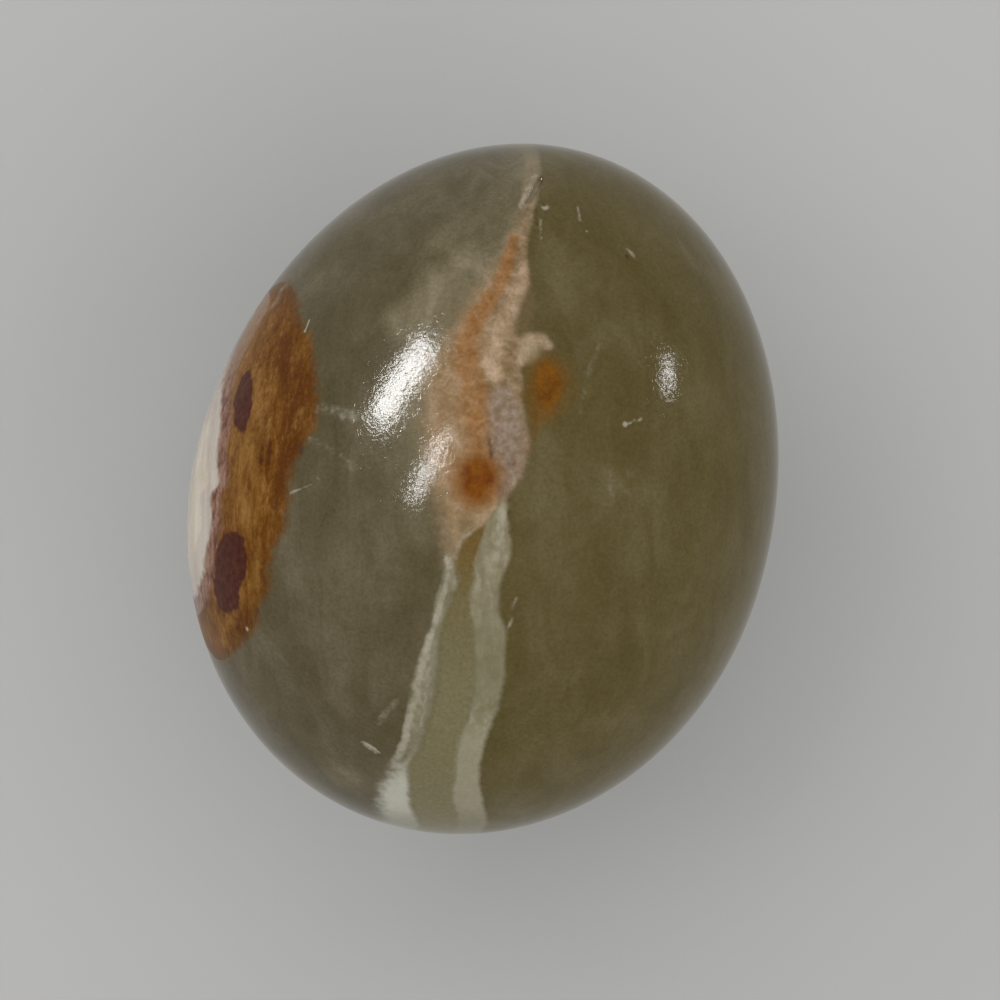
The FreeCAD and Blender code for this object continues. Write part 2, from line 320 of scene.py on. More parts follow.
# Where a look fades in along the bedding: millimetres from the egg's middle, from none to full
FADES = {
    "halo": (-4.0, 6.0),
    "rose_to_tan": (7.0, 14.0),
    "white_to_tan": (9.5, 14.0),
    "cream_to_tan": (12.0, 16.0),
    "stain_foot": (0.5, -5.5),
    "stain": (-7.4, -5.4),
    "left_vein": (-5.0, -6.6),
    "flare": (-22.0, -26.0),
    "flare_wisps": (-21.0, -25.0),
    "over_flare": (-25.0, -21.0),
    "left_vein_rim": (-27.6, -30.2),
    "clear_below": (-9.0, -12.0),
    "clear_above": (-23.0, -20.0),
    "lens_top": (-20.0, -4.0),
    "dull_above": (-20.5, -16.0),
    "pale_foot": (-18.5, -22.0),
    "right_vein_rim": (-27.2, -30.0),
    "seam": (-1.8, 0.2),
    "seam_to_grey": (20.0, 27.0),
    "seam_tip": (28.5, 30.5),
}

# Gloss
GLOSS_HAZE = 0.007  # what the polish reflects of the room, taken off each colour
LIGHT_LEVEL = 0.98  # how much of a colour the lamps and the world together bring out
DARKEST = 0.004
PEEL_HEIGHT = 0.019
CREASE_CELLS = 1.5  # fine creases in the polish, to a millimetre
CREASE_WIDTH = 0.09  # of a cell
CREASE_DEPTH = 0.13  # of the peel's height
CREASE_GAPS = (0.46, 0.56)
STONE_IOR = 1.5
POLISH = (0.1, 0.13)  # roughness and specular level
DULLER = {"rust_banding": (0.3, 0.06), "iron_spot": (0.3, 0.08), "rose_calcite": (0.2, 0.15)}
SPECK_RANGE = (0.32, 0.68)
COMMON_SPECKLE = 0.16
SPECKLE = {"white_calcite": 0.07, "pale_calcite": 0.06, "rust_banding": 0.2}

# Floor and light
FLOOR_SIDE = 30
FLOOR_TONE = (0.43, 0.43, 0.42, 1)
FLOOR_ROUGHNESS = 0.9
WORLD_LEVEL = 0.33
FILL_DISTANCE = 1.2
FILL_SIDE = 1.2
FILLS = [  # bearing and height in degrees, and level
    (5, 35, 1.08), (95, 40, 1.25), (165, 40, 0.92), (215, 40, 0.7), (300, 35, 1.02),
]
WINDOW_DISTANCE = 700.0
WINDOWS = [  # a highlight's middle, ends and half width in pixels, and the lamp's radiance
    ((402, 380), (430, 340), (376, 422), 12, 80.0),
    ((428, 468), (446, 437), (410, 503), 4, 80.0),
    ((668, 375), (668, 360), (668, 391), 3, 64.0),
]

# Mesh fineness
CELLS = 150
FINE_ROUNDS = 2
FINE_RING = 0.55  # how far round a flaw the mesh is finer
BLOCK_REACH = 60.0  # past the egg on every side
WALL_GRID = ((45.0, 226), (31.0, 32))  # half length and points along the bedding, and down
WALL_STEPS, OUTLINE_STEPS, PLUG_STEPS = 8, 3, 4  # from one outline point to the next
CORNER_KEYS = 1e6  # finds the corners that cube sides share
SLOPE_STEP = 0.04  # for the slopes of the flaws
SKIN_SLACK = 0.05  # how far off the polished skin one of its faces may lie
SKIN_FACING = 0.5


def to_egg(points):
    """Points in the bedding's axes, in the egg's."""
    u, v, z = points[..., 0], points[..., 1], points[..., 2]
    return np.stack([COS_TURN * u - SIN_TURN * v, SIN_TURN * u + COS_TURN * v, z], -1)


def to_bedding(points):
    """Points in the egg's axes, in the bedding's."""
    x, y, z = points[..., 0], points[..., 1], points[..., 2]
    return np.stack([COS_TURN * x + SIN_TURN * y, COS_TURN * y - SIN_TURN * x, z], -1)


def half_lengths(y):
    return np.where(y > WIDEST_Y, POINTED_REACH, BLUNT_REACH)


def to_ball(points):
    """Points in the egg's axes, scaled so that the skin is the unit ball."""
    y = points[..., 1]
    along = (y - WIDEST_Y) / half_lengths(y)
    return np.stack([points[..., 0] / EGG_RADIUS, along, points[..., 2] / EGG_RADIUS], -1)


def from_ball(points):
    along = points[..., 1]
    y = WIDEST_Y + along * np.where(along > 0, POINTED_REACH, BLUNT_REACH)
    return np.stack([points[..., 0] * EGG_RADIUS, y, points[..., 2] * EGG_RADIUS], -1)


def onto_skin(points):
    """Nearly the nearest places on the skin, for points close to it."""
    ball = to_ball(points)
    return from_ball(ball / norm(ball, axis=-1, keepdims=True))


def skin_normals(points):
    ball = to_ball(points)
    y = points[..., 1]
    across = np.full_like(y, EGG_RADIUS)
    slope = ball / np.stack([across, half_lengths(y), across], -1)
    return slope / norm(slope, axis=-1, keepdims=True)


def seen(pixels):
    """Where the lines of sight through pixels meet the skin, in the bedding's axes."""
    pixels = np.asarray(pixels, float)[:, :2]
    middle = IMAGE_SIDE / 2
    right, up = (pixels[:, 0] - middle) / FOCAL_PIXELS, (middle - pixels[:, 1]) / FOCAL_PIXELS
    ways = np.stack([right, up, -np.ones(len(pixels))], -1)
    start, ways = to_egg(CAMERA_PLACE), to_egg(ways)
    found = np.zeros_like(ways)
    for reach, side in ((POINTED_REACH, 1), (BLUNT_REACH, -1)):
        scale = np.array([EGG_RADIUS, reach, EGG_RADIUS])
        o, d = (start - [0, WIDEST_Y, 0]) / scale, ways / scale
        a, b, c = (d * d).sum(-1), (d * o).sum(-1), (o * o).sum() - 1
        t = (-b - np.sqrt(np.maximum(b * b - a * c, 0))) / a
        hits = start + t[:, None] * ways
        here = side * (hits[:, 1] - WIDEST_Y) >= 0
        found[here] = hits[here]
    return to_bedding(onto_skin(found))


def rounded(points, steps=WALL_STEPS):
    """A smooth line through the points (Catmull-Rom)."""
    p = np.vstack([2 * points[0] - points[1], points, 2 * points[-1] - points[-2]])
    t = np.linspace(0, 1, steps, endpoint=False)[:, None]
    parts = []
    for i in range(len(points) - 1):
        a, b, c, d = p[i:i + 4]
        square, cube = 2 * a - 5 * b + 4 * c - d, 3 * b - a - 3 * c + d
        parts.append(0.5 * (2 * b + (c - a) * t + square * t ** 2 + cube * t ** 3))
    return np.vstack(parts + [points[-1:]])


def drift(v, z):
    """How far the layers wander sideways below the egg's middle, out of the photograph's sight."""
    below = np.clip(-z / DRIFT_DEPTH, 0, 1) ** 2
    waves = (height * np.sin(v / long + z / deep + phase) for height, long, deep, phase in DRIFTS)
    return below * sum(waves)


def closed_line(outline, steps):
    """An inclusion's outline on the skin, smooth and closed."""
    return rounded(np.vstack([seen(outline), seen(outline[:1])]), steps)


class Wall:
    """A wavy wall through the egg, from the pixels that it passes and its lean."""

    def __init__(self, pixels, lean, shift=0.0):
        points = seen(pixels)
        middle = points[:, 0] - lean * points[:, 2]
        line = rounded(np.stack([middle, points[:, 1]], -1))[::-1]
        order = np.maximum.accumulate(line[:, 1])
        self.across, self.along = line[:, 0] + shift, order + np.arange(len(order)) * HAIR
        self.run = (self.across[-1] - self.across[0]) / (self.along[-1] - self.along[0])
        self.lean = lean

    def at(self, v, z):
        past = v - np.clip(v, self.along[0], self.along[-1])
        line = np.interp(v, self.along, self.across) + past * self.run
        return line + self.lean * z + drift(v, z)

    def beyond(self, points):
        """How far points in the bedding's axes lie to the right of the wall."""
        return points[:, 0] - self.at(points[:, 1], points[:, 2])


walls = {
    "sheet_right": Wall(SHEET_RIGHT, VEIN_LEAN),
    "sheet_left": Wall(SHEET_LEFT, VEIN_LEAN),
    "stain_left": Wall(STAIN_LEFT, VEIN_LEAN),
    "lens_left": Wall(LENS_LEFT, VEIN_LEAN),
    "rust_right": Wall(RUST_RIGHT, RUST_LEAN),
    "rose_right": Wall(WHITE_RIGHT, PALE_LEAN, ROSE_THICKNESS),
    "white_right": Wall(WHITE_RIGHT, PALE_LEAN),
    "cream_right": Wall(WHITE_RIGHT, PALE_LEAN, -WHITE_THICKNESS),
}


def nearness(points, marks):
    """Distance from a mark's line over its own half width: 0 on the line and 1 at its edge.
    Marks are (x, y, half width) in the photograph's pixels."""
    marks = np.asarray(marks, float)
    line = seen(marks)
    widths = marks[:, 2] * PIXEL
    best = np.full(len(points), FAR_OFF)
    if len(marks) == 1:
        return np.minimum(best, norm(points - line[0], axis=1) / widths[0])
    for a, b, wa, wb in zip(line[:-1], line[1:], widths[:-1], widths[1:]):
        run = b - a
        t = np.clip((points - a) @ run / (run @ run), 0, 1)
        off = norm(points - a - t[:, None] * run, axis=1)
        best = np.minimum(best, off / (wa + (wb - wa) * t))
    return best


def hollow(points):
    """How deep the flaws cut into the skin at points in the bedding's axes."""
    depth = np.zeros(len(points))
    across, along = points[:, 0], points[:, 1]
    one, two, three = RAGGED_WAVES
    ragged = RAGGED_SHARE * np.sin(across * one + along * two) * np.cos(along * three)
    for marks, most in FLAWS:
        off = nearness(points, marks) + ragged
        depth = np.maximum(depth, most * np.clip(1 - off ** 2, 0, 1) ** FLAW_POWER)
    return depth


def outside(points, outline):
    """Distance in millimetres from an inclusion's outline, less than zero within it."""
    ring = closed_line(outline, OUTLINE_STEPS)
    middle = ring[:-1].mean(0)
    near = norm(points - middle, axis=1) < FAR_OFF
    found = np.full(len(points), OUTLINE_REACH)
    p = points[near]
    best = np.full(len(p), FAR_OFF)
    turns = np.zeros(len(p))
    for a, b in zip(ring[:-1], ring[1:]):
        run = b - a
        t = np.clip((p - a) @ run / (run @ run), 0, 1)
        best = np.minimum(best, norm(p - a - t[:, None] * run, axis=1))
        pa, pb = (a - p)[:, :2], (b - p)[:, :2]
        turns += np.arctan2(pa[:, 0] * pb[:, 1] - pa[:, 1] * pb[:, 0], (pa * pb).sum(1))
    found[near] = np.minimum(np.where(np.abs(turns) > math.pi, -best, best), OUTLINE_REACH)
    return found


def stone_facts(points):
    """What the stone shader reads at each vertex, from places in the bedding's axes."""
    facts = {name: np.clip(wall.beyond(points), -FAR_OFF, FAR_OFF) for name, wall in walls.items()}
    for name, outline in INCLUSIONS.items():
        facts[name] = outside(points, outline)
    for name, marks in MARKS.items():
        strength = np.zeros(len(points))
        for line, most in marks:
            fading = np.clip(MARK_REACH - nearness(points, line), 0, 1)
            strength = np.maximum(strength, most * fading)
        facts[name + "_marks"] = strength
    return facts


def give_facts(mesh):
    points = to_bedding(places(mesh))
    for name, values in stone_facts(points).items():
        fact = mesh.attributes.new(name, "FLOAT", "POINT")
        fact.data.foreach_set("value", values.astype(np.float32))
    bed = mesh.attributes.new("bed", "FLOAT_VECTOR", "POINT")
    bed.data.foreach_set("vector", points.astype(np.float32).ravel())


def smooth_skin(mesh):
    """The egg's own normals on the polished skin, with the flaws' slopes: no joint shows."""
    points = places(mesh)
    skin = onto_skin(points)
    normals = skin_normals(skin)
    cut = hollow(to_bedding(skin))
    side = np.cross(normals, [0.0, 0.0, 1.0])
    side /= np.maximum(norm(side, axis=1, keepdims=True), HAIR)
    up = np.cross(normals, side)
    for way in (side, up):
        ahead = hollow(to_bedding(skin + way * SLOPE_STEP))
        behind = hollow(to_bedding(skin - way * SLOPE_STEP))
        normals = normals + way * ((ahead - behind) / (2 * SLOPE_STEP))[:, None]
    normals /= norm(normals, axis=1, keepdims=True)
    depth = norm(points - skin, axis=1) - cut
    vertex = listed(mesh.loops, "vertex_index", kind=np.int32)
    count = listed(mesh.polygons, "loop_total", kind=np.int32)
    flat = listed(mesh.polygons, "normal", 3)
    faces = np.repeat(np.arange(len(count)), count)
    deepest, facing = np.zeros(len(count)), np.zeros(len(count))
    np.maximum.at(deepest, faces, depth[vertex])
    np.add.at(facing, faces, (normals[vertex] * flat[faces]).sum(1))
    skin_face = (deepest < SKIN_SLACK) & (facing / count > SKIN_FACING)
    chosen = np.where(skin_face[faces, None], normals[vertex], flat[faces])
    mesh.shade_smooth()
    mesh.normals_split_custom_set(chosen.tolist())


def egg_grid():
    """An even grid over the whole egg: a cube's six faces blown up to the skin."""
    t = np.tan(np.linspace(-math.pi / 4, math.pi / 4, CELLS + 1))
    a, b = np.meshgrid(t, t, indexing="ij")
    a, b, one = a.ravel(), b.ravel(), np.ones(a.size)
    sides = [(one, a, b), (-one, b, a), (b, one, a), (a, -one, b), (a, b, one), (b, a, -one)]
    points = np.vstack([np.stack(side, -1) for side in sides])
    points /= norm(points, axis=1, keepdims=True)
    keys = np.round(points * CORNER_KEYS).astype(np.int64)
    _, first, same = np.unique(keys, axis=0, return_index=True, return_inverse=True)
    i, j = np.meshgrid(np.arange(CELLS), np.arange(CELLS), indexing="ij")
    corner = (i * (CELLS + 1) + j).ravel()
    quad = np.stack([corner, corner + CELLS + 1, corner + CELLS + 2, corner + 1], -1)
    faces = np.vstack([quad + k * (CELLS + 1) ** 2 for k in range(6)])
    return from_ball(points[first]), same.ravel()[faces]


def new_mesh(name, points, faces):
    mesh = bpy.data.meshes.new(name)
    mesh.from_pydata(points.tolist(), [], faces if isinstance(faces, list) else faces.tolist())
    mesh.update()
    return mesh


def closed(mesh):
    """The mesh with its faces turned outward, and with triangles for the many-sided ones."""
    work = bmesh.new()
    work.from_mesh(mesh)
    bmesh.ops.triangulate(work, faces=[f for f in work.faces if len(f.verts) > 4])
    bmesh.ops.recalc_face_normals(work, faces=work.faces)
    work.to_mesh(mesh)
    work.free()
    return mesh


def listed(items, name, width=1, kind=np.float32):
    """A value for each item of a mesh, or a row of values."""
    values = np.zeros(len(items) * width, kind)
    items.foreach_get(name, values)
    return values.reshape(-1, width) if width > 1 else values


def places(mesh):
    return listed(mesh.vertices, "co", 3).astype(float)


def polished_egg():
    """The egg's closed skin, finer round its flaws, with the flaws cut in."""
    points, faces = egg_grid()
    mesh = new_mesh("egg_skin", points, faces)
    work = bmesh.new()
    work.from_mesh(mesh)
    for _ in range(FINE_ROUNDS):
        work.faces.ensure_lookup_table()
        middles = to_bedding(np.array([f.calc_center_median() for f in work.faces]))
        reach = np.full(len(middles), FAR_OFF)
        for marks, _ in FLAWS:
            wide = [(x, y, r + FINE_RING / PIXEL) for x, y, r in marks]
            reach = np.minimum(reach, nearness(middles, wide))
        edges = {e for k in np.flatnonzero(reach < 1) for e in work.faces[k].edges}
        bmesh.ops.subdivide_edges(work, edges=list(edges), cuts=1, use_grid_fill=True)
    bmesh.ops.triangulate(work, faces=[f for f in work.faces if len(f.verts) > 4])
    work.to_mesh(mesh)
    work.free()
    skin = onto_skin(places(mesh))
    depth = hollow(to_bedding(skin))
    skin -= skin_normals(skin) * depth[:, None]
    mesh.vertices.foreach_set("co", skin.astype(np.float32).ravel())
    mesh.update()
    return mesh


def block_mesh(name, near, far):
    """A closed block between two matching grids of points."""
    rows, cols = near.shape[:2]
    count = rows * cols
    index = np.arange(count).reshape(rows, cols)
    a, b, c, d = index[:-1, :-1], index[1:, :-1], index[1:, 1:], index[:-1, 1:]
    front = np.stack([a, b, c, d], -1).reshape(-1, 4)
    back = front[:, ::-1] + count
    rim = np.concatenate([index[:, 0], index[-1, 1:], index[-2::-1, -1], index[0, -2:0:-1]])
    after = np.roll(rim, -1)
    sides = np.stack([after, rim, rim + count, after + count], -1)
    faces = np.vstack([front, back, sides])
    points = np.vstack([near.reshape(-1, 3), far.reshape(-1, 3)])
    return closed(new_mesh(name, to_egg(points), faces))


def beside(name, side):
    """Everything on one side of a wall: side is 1 for the right and -1 for the left."""
    spans = [np.linspace(-half, half, count) for half, count in WALL_GRID]
    v, z = np.meshgrid(*spans, indexing="ij")
    near = np.stack([walls[name].at(v, z), v, z], -1)
    far = np.stack([np.full_like(v, side * BLOCK_REACH), v, z], -1)
    return block_mesh("beside", near, far)


def above(row):
    """Everything further along the bedding than a row of pixels of the photograph."""
    foot = seen([(IMAGE_SIDE / 2, row)])[0, 1]
    ends = [-BLOCK_REACH, BLOCK_REACH]
    u, z = np.meshgrid(ends, ends, indexing="ij")
    near = np.stack([u, np.full_like(u, foot), z], -1)
    far = np.stack([u, np.full_like(u, BLOCK_REACH), z], -1)
    return block_mesh("above", near, far)


def plug(name):
    """An inclusion's body: its outline on the skin, carried up past it, and tapering inwards."""
    ring = closed_line(INCLUSIONS[name], PLUG_STEPS)[:-1]
    middle = ring.mean(0)
    outward = to_bedding(skin_normals(to_egg(ring))).mean(0)
    outward /= norm(outward)
    top = ring + outward * INCLUSION_RISE
    foot = middle + (ring - middle) * INNER_SHARE - outward * INCLUSION_DEPTH
    count = len(ring)
    faces = [[i, (i + 1) % count, count + (i + 1) % count, count + i] for i in range(count)]
    faces += [list(range(count)), list(range(count, 2 * count))]
    return closed(new_mesh("plug", to_egg(np.vstack([top, foot])), faces))


def show(thing):
    bpy.context.scene.collection.objects.link(thing)


def combine(block, tool, operation):
    """A new mesh from two."""
    holder = bpy.data.objects.new("block", block)
    cutter = bpy.data.objects.new("tool", tool)
    for thing in (holder, cutter):
        show(thing)
    cut = holder.modifiers.new("cut", "BOOLEAN")
    cut.solver = "MANIFOLD"
    cut.operation = operation
    cut.object = cutter
    depsgraph = bpy.context.evaluated_depsgraph_get()
    made = bpy.data.meshes.new_from_object(holder.evaluated_get(depsgraph))
    for thing in (holder, cutter):
        bpy.data.objects.remove(thing)
    return made


def split(block, tool):
    """The part of a block inside a tool, and the part outside it."""
    return combine(block, tool, "INTERSECT"), combine(block, tool, "DIFFERENCE")


def stone_pieces():
    """Each layer and inclusion of the CAD frame, cut from the polished egg."""
    egg = polished_egg()
    right_side, left_side = split(egg, beside("sheet_left", 1))
    right_block, sheet = split(right_side, beside("sheet_right", 1))
    pieces = {}
    pieces["amber_spot"], right_block = split(right_block, plug("amber_spot"))
    pieces["cream_nodule"], pieces["olive_stone"] = split(right_block, plug("cream_nodule"))
    pieces["pink_seam"], pieces["right_vein"] = split(sheet, above(SEAM_FOOT))
    pieces["green_lens"], rest = split(left_side, beside("lens_left", 1))
    stained, left_body = split(rest, beside("stain_left", 1))
    stain, pieces["left_vein"] = split(stained, above(STAIN_FOOT))
    pieces["amber_core"], pieces["amber_patch"] = split(stain, plug("amber_core"))
    cap, pieces["grey_stone"] = split(left_body, beside("rust_right", -1))
    pale_cap, rust = split(cap, beside("rose_right", -1))
    pale_cap, pieces["rose_band"] = split(pale_cap, beside("white_right", -1))
    pieces["cream_band"], pieces["white_band"] = split(pale_cap, beside("cream_right", -1))
    pieces["upper_iron_spot"], rust = split(rust, plug("upper_iron"))
    pieces["lower_iron_spot"], pieces["rust_band"] = split(rust, plug("lower_iron"))
    return pieces


SLOTS = {
    "olive_stone": "olive_onyx",
    "green_lens": "olive_onyx",
    "grey_stone": "grey_green_onyx",
    "pink_seam": "pink_calcite",
    "cream_nodule": "pink_calcite",
    "right_vein": "white_calcite",
    "left_vein": "white_calcite",
    "amber_patch": "amber_calcite",
    "amber_core": "amber_calcite",
    "amber_spot": "amber_calcite",
    "rust_band": "rust_banding",
    "upper_iron_spot": "iron_spot",
    "lower_iron_spot": "iron_spot",
    "rose_band": "rose_calcite",
    "white_band": "pale_calcite",
    "cream_band": "pale_calcite",
}


def place_pieces(pieces):
    """The finished meshes in the frame, in metres, each in place of its CAD node."""
    made = {}
    settle = Matrix.Translation(EGG_MIDDLE) @ Matrix.Diagonal((MM, MM, MM, 1))
    for node, mesh in pieces.items():
        mesh.name = node + "_polished"
        give_facts(mesh)
        smooth_skin(mesh)
        mesh.transform(settle)
        thing = bpy.data.objects.new(node + "_polished", mesh)
        show(thing)
        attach(thing, "root")
        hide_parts(node)
        made[node] = thing
    return made


def tone(red, green, blue):
    """An sRGB colour, 0 to 255, as the shader's own: linear, and less the haze of the polish."""
    def linear(c):
        c /= 255
        return c / 12.92 if c <= 0.04045 else ((c + 0.055) / 1.055) ** 2.4
    parts = (max(linear(c) - GLOSS_HAZE, DARKEST) / LIGHT_LEVEL for c in (red, green, blue))
    return (*parts, 1.0)


class Nodes:
    """Short names for the nodes of one tree. A source is a socket, or a value of its own."""

    def __init__(self, tree):
        self.tree = tree

    def put(self, source, socket):
        if isinstance(source, bpy.types.NodeSocket):
            self.tree.links.new(source, socket)
        else:
            socket.default_value = source

    def fill_in(self, node, inputs):
        for name, source in inputs.items():
            self.put(source, node.inputs[name])

    def add(self, kind, inputs=None, **settings):
        node = self.tree.nodes.new(kind)
        for name, value in settings.items():
            setattr(node, name, value)
        self.fill_in(node, inputs or {})
        return node

    def read(self, name):
        return self.add("ShaderNodeAttribute", attribute_name=name).outputs["Fac"]

    def calc(self, operation, a, b):
        return self.add("ShaderNodeMath", {0: a, 1: b}, operation=operation).outputs[0]

    def times(self, a, *others):
        for b in others:
            a = self.calc("MULTIPLY", a, b)
        return a

    def weighed(self, *pairs):
        """The sum of values times their weights."""
        total, *others = [self.times(value, weight) for value, weight in pairs]
        for other in others:
            total = self.calc("ADD", total, other)
        return total

    def bed(self, stretch=(1, 1, 1), shift=0.0):
        place = self.add("ShaderNodeAttribute", attribute_name="bed").outputs["Vector"]
        inputs = {0: place, 1: stretch, 2: [shift * part for part in SHIFT_WAY]}
        return self.add("ShaderNodeVectorMath", inputs, operation="MULTIPLY_ADD").outputs[0]

    def noise(self, scale, stretch=(1, 1, 1), detail=3.0, rough=0.55, bend=0.0, shift=0.0):
        inputs = {"Vector": self.bed(stretch, shift), "Scale": scale, "Detail": detail,
                  "Roughness": rough, "Distortion": bend}
        return self.add("ShaderNodeTexNoise", inputs).outputs["Fac"]

    def grain(self, name):
        return self.noise(**GRAINS[name])

    def step(self, value, low, high, most=1.0):
        """0 at low and most at high, smoothly, and level past both. High may be the lower one."""
        ends = (most, 0.0) if low > high else (0.0, most)
        inputs = {"Value": value, "From Min": min(low, high), "From Max": max(low, high),
                  "To Min": ends[0], "To Max": ends[1]}
        node = self.add("ShaderNodeMapRange", inputs, interpolation_type="SMOOTHSTEP")
        return node.outputs["Result"]

    def mix(self, amount, a, b, way="MIX"):
        inputs = {"Factor": amount, MIX_FIRST: a, MIX_SECOND: b}
        node = self.add("ShaderNodeMix", inputs, data_type="RGBA", blend_type=way)
        return node.outputs[MIX_RESULT]

    def paint(self, under, amount, over):
        """A colour over another one. Over is a socket, or an sRGB colour."""
        return self.mix(amount, under, tone(*over) if isinstance(over, tuple) else over)

    def ramp(self, value, *stops):
        node = self.add("ShaderNodeValToRGB", {"Fac": value})
        elements = node.color_ramp.elements
        while len(elements) < len(stops):
            elements.new(0.5)
        for element, (place, colour) in zip(elements, stops):
            element.position = place
            element.color = colour
        return node.outputs["Color"]

    def tones(self, value, *stops):
        """A ramp whose stops are places on value, each with its sRGB colour."""
        return self.ramp(value, *((place, tone(*colour)) for place, *colour in stops))


class Field(Nodes):
    """The stone's colour, as layers painted over one another, from the facts on the vertices."""

    def __init__(self):
        super().__init__(bpy.data.node_groups.new("stone_field", "ShaderNodeTree"))
        self.tree.interface.new_socket("Color", in_out="OUTPUT", socket_type="NodeSocketColor")
        self.ragged = self.calc("SUBTRACT", self.grain("ragged"), 0.5)
        self.mottle, self.threads = self.grain("mottle"), self.grain("threads")
        self.along = self.add("ShaderNodeSeparateXYZ", {0: self.bed()}).outputs["Y"]
        self.colour = None

    def torn(self, value, rough):
        """A distance with its line made ragged."""
        return self.calc("ADD", value, self.times(self.ragged, rough))

    def edge(self, name, soft, rough=0.5):
        """1 to the right of a wall, or outside an inclusion, and 0 on its other side."""
        return self.step(self.torn(self.read(name), rough), -soft, soft)

    def within(self, name, soft, rough=0.5):
        return self.calc("SUBTRACT", 1.0, self.edge(name, soft, rough))

    def mark(self, name, rough=1.2):
        strength = self.read(name + "_marks")
        tear = self.times(self.ragged, rough, self.step(strength, 0.0, 0.2))
        return self.step(self.calc("ADD", strength, tear), 0.05, 0.95)

    def fade(self, name, most=1.0):
        return self.step(self.along, *FADES[name], most)

    def cover(self, amount, over):
        """Paint over the colour that the stone has so far."""
        self.colour = self.paint(self.colour, amount, over)


def green_body(n):
    """Greyer and cloudier to the left of the veins, more olive to the right, with painted glow and
    painted light laid over in beige.
    """
    wisps = n.grain("wisps")
    body = n.weighed((n.grain("clouds"), 0.5), (wisps, 0.5))
    n.colour = n.tones(body, (0.36, 83, 75, 54), (0.5, 91, 83, 62), (0.64, 104, 96, 76))
    olive = n.tones(body, (0.36, 84, 74, 44), (0.5, 91, 81, 52), (0.64, 100, 91, 64))
    n.cover(n.edge("sheet_right", soft=0.3, rough=0.3), olive)
    beige = n.tones(wisps, (0.35, 112, 103, 80), (0.65, 138, 127, 104))
    by_stain = n.step(n.read("stain_left"), -4.5, 0.5)
    n.cover(n.times(by_stain, n.fade("halo"), n.within("sheet_left", soft=0.4), 0.7), beige)
    # beige from the cloud marks: pale clouds in the stone, with painted glow round the highlights
    # and painted light on the top
    n.cover(n.step(n.read("cloud_marks"), 0.0, 1.3, 0.9), beige)


def rust_bed(n):
    """Streaky grain, paler away from the bed's right edge, with two iron spots."""
    streaks, crumbs = n.grain("streaks"), n.grain("crumbs")
    grain = n.weighed((streaks, 0.45), (n.grain("patches"), 0.3), (crumbs, 0.25))
    rust = n.tones(grain, (0.41, 84, 48, 14), (0.47, 104, 66, 24), (0.53, 118, 79, 36),
                   (0.6, 142, 102, 56))
    off_edge = n.read("rust_right")
    inside = n.times(n.step(off_edge, -2.0, -4.6, 0.55), n.step(crumbs, 0.3, 0.6))
    rust = n.paint(rust, inside, (140, 102, 58))
    rust = n.paint(rust, n.step(off_edge, -1.4, -0.1, 0.45), (92, 58, 16))
    ochre = n.tones(streaks, (0.35, 118, 78, 32), (0.65, 148, 110, 60))
    rust = n.paint(rust, n.times(n.mark("amber"), 0.8), ochre)
    deep = n.times(n.mark("deep", rough=0.6), n.step(grain, 0.7, 0.46), 0.85)
    rust = n.paint(rust, deep, (90, 53, 8))
    n.cover(n.within("rust_right", soft=0.45, rough=0.9), rust)
    iron = n.tones(n.grain("iron"), (0.35, 68, 34, 24), (0.7, 86, 52, 42))
    for spot in ("upper_iron", "lower_iron"):
        n.cover(n.times(n.within(spot, soft=0.22, rough=1.1), 0.97), iron)


def pale_beds(n):
    """The thin rose, white and cream beds, which turn tan towards the pointed end."""
    rose = n.tones(n.grain("rose"), (0.38, 92, 48, 36), (0.48, 122, 84, 66), (0.6, 150, 114, 94))
    rose = n.paint(rose, n.fade("rose_to_tan", 0.75), (138, 104, 66))
    n.cover(n.within("rose_right", soft=0.22, rough=1.0), rose)
    bands = n.grain("bands")
    white = n.tones(bands, (0.38, 186, 173, 160), (0.62, 198, 187, 175))
    white = n.paint(white, n.fade("white_to_tan", 0.95), (130, 96, 60))
    n.cover(n.within("white_right", soft=0.16, rough=0.4), white)
    cream = n.tones(bands, (0.38, 200, 186, 166), (0.62, 216, 205, 188))
    cream = n.paint(cream, n.fade("cream_to_tan", 0.9), (140, 108, 76))
    n.cover(n.within("cream_right", soft=0.16, rough=0.35), cream)


def amber_stain(n):
    """The tan stain to the left of the seam."""
    stain = n.tones(n.mottle, (0.36, 134, 108, 76), (0.5, 146, 120, 90), (0.64, 160, 137, 109))
    stain = n.paint(stain, n.fade("stain_foot", 0.8), (142, 124, 97))
    in_stain = n.times(n.step(n.torn(n.read("stain_left"), 2.0), -1.3, 1.6),
                       n.within("sheet_left", soft=0.3, rough=0.3))
    n.cover(n.times(in_stain, n.fade("stain")), stain)


def left_vein(n):
    """Clearer on its right side, with a white flare at the blunt end."""
    vein = n.tones(n.weighed((n.threads, 0.6), (n.mottle, 0.4)),
                   (0.38, 114, 108, 86), (0.5, 130, 124, 102), (0.62, 147, 142, 123))
    vein = n.paint(vein, n.fade("flare", 0.75), (190, 189, 175))
    vein = n.paint(vein, n.fade("left_vein_rim", 0.65), (112, 106, 84))
    clear = n.step(n.torn(n.read("lens_left"), 1.6), -1.5, -0.3, 0.6)
    clear = n.times(clear, n.fade("clear_below"), n.fade("clear_above"))
    vein = n.paint(vein, clear, (118, 113, 92))
    wispy = n.torn(n.read("stain_left"), n.fade("flare_wisps", 1.5))
    whole = n.calc("MAXIMUM", n.step(wispy, 0.0, 1.8), n.fade("over_flare"))
    in_vein = n.times(n.edge("stain_left", soft=0.25), n.fade("left_vein"), whole)
    n.cover(n.times(in_vein, n.within("lens_left", soft=0.4, rough=0.8)), vein)


